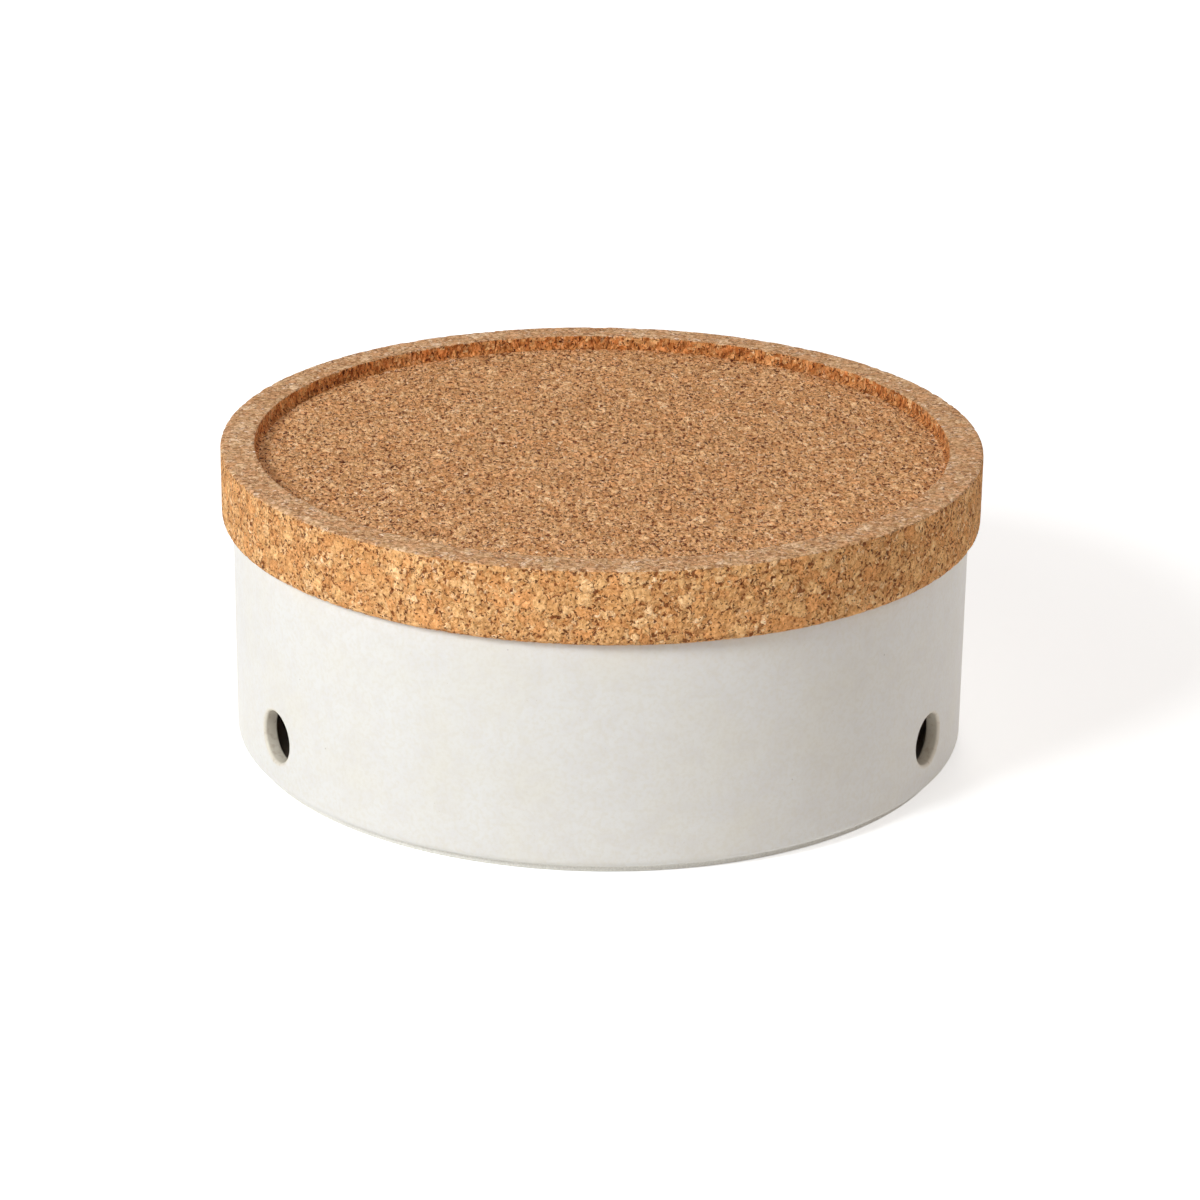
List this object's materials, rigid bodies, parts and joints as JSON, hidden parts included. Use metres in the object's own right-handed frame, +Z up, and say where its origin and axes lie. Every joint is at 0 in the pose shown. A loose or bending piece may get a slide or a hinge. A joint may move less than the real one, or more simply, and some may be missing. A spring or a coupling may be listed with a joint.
{
  "type": "onion storage canister",
  "caption": "Round stoneware kitchen canister for onions, with low side vents, a foot ring and a lift-off cork lid whose recessed top serves as a tray.",
  "frame": {"origin": "on the body's axis, at the flat underside of the foot ring that it stands on", "axes": "+Z up along the axis of the body and lid; -Y to the front, midway between two vents; +X to the viewer's right"},
  "size_m": [0.24, 0.24, 0.098],
  "materials": {
    "glazed_stoneware": "satin",
    "agglomerated_cork": "matte"
  },
  "bodies": {
    "canister_body": {"stoneware_body": "glazed_stoneware"},
    "lid": {"cork_lid": "agglomerated_cork"}
  },
  "joints": [
    {"name": "lid_lift", "type": "slide", "parent": "canister_body", "child": "lid", "axis": [0, 0, 1], "range_m": [0, 0.16]}
  ]
}
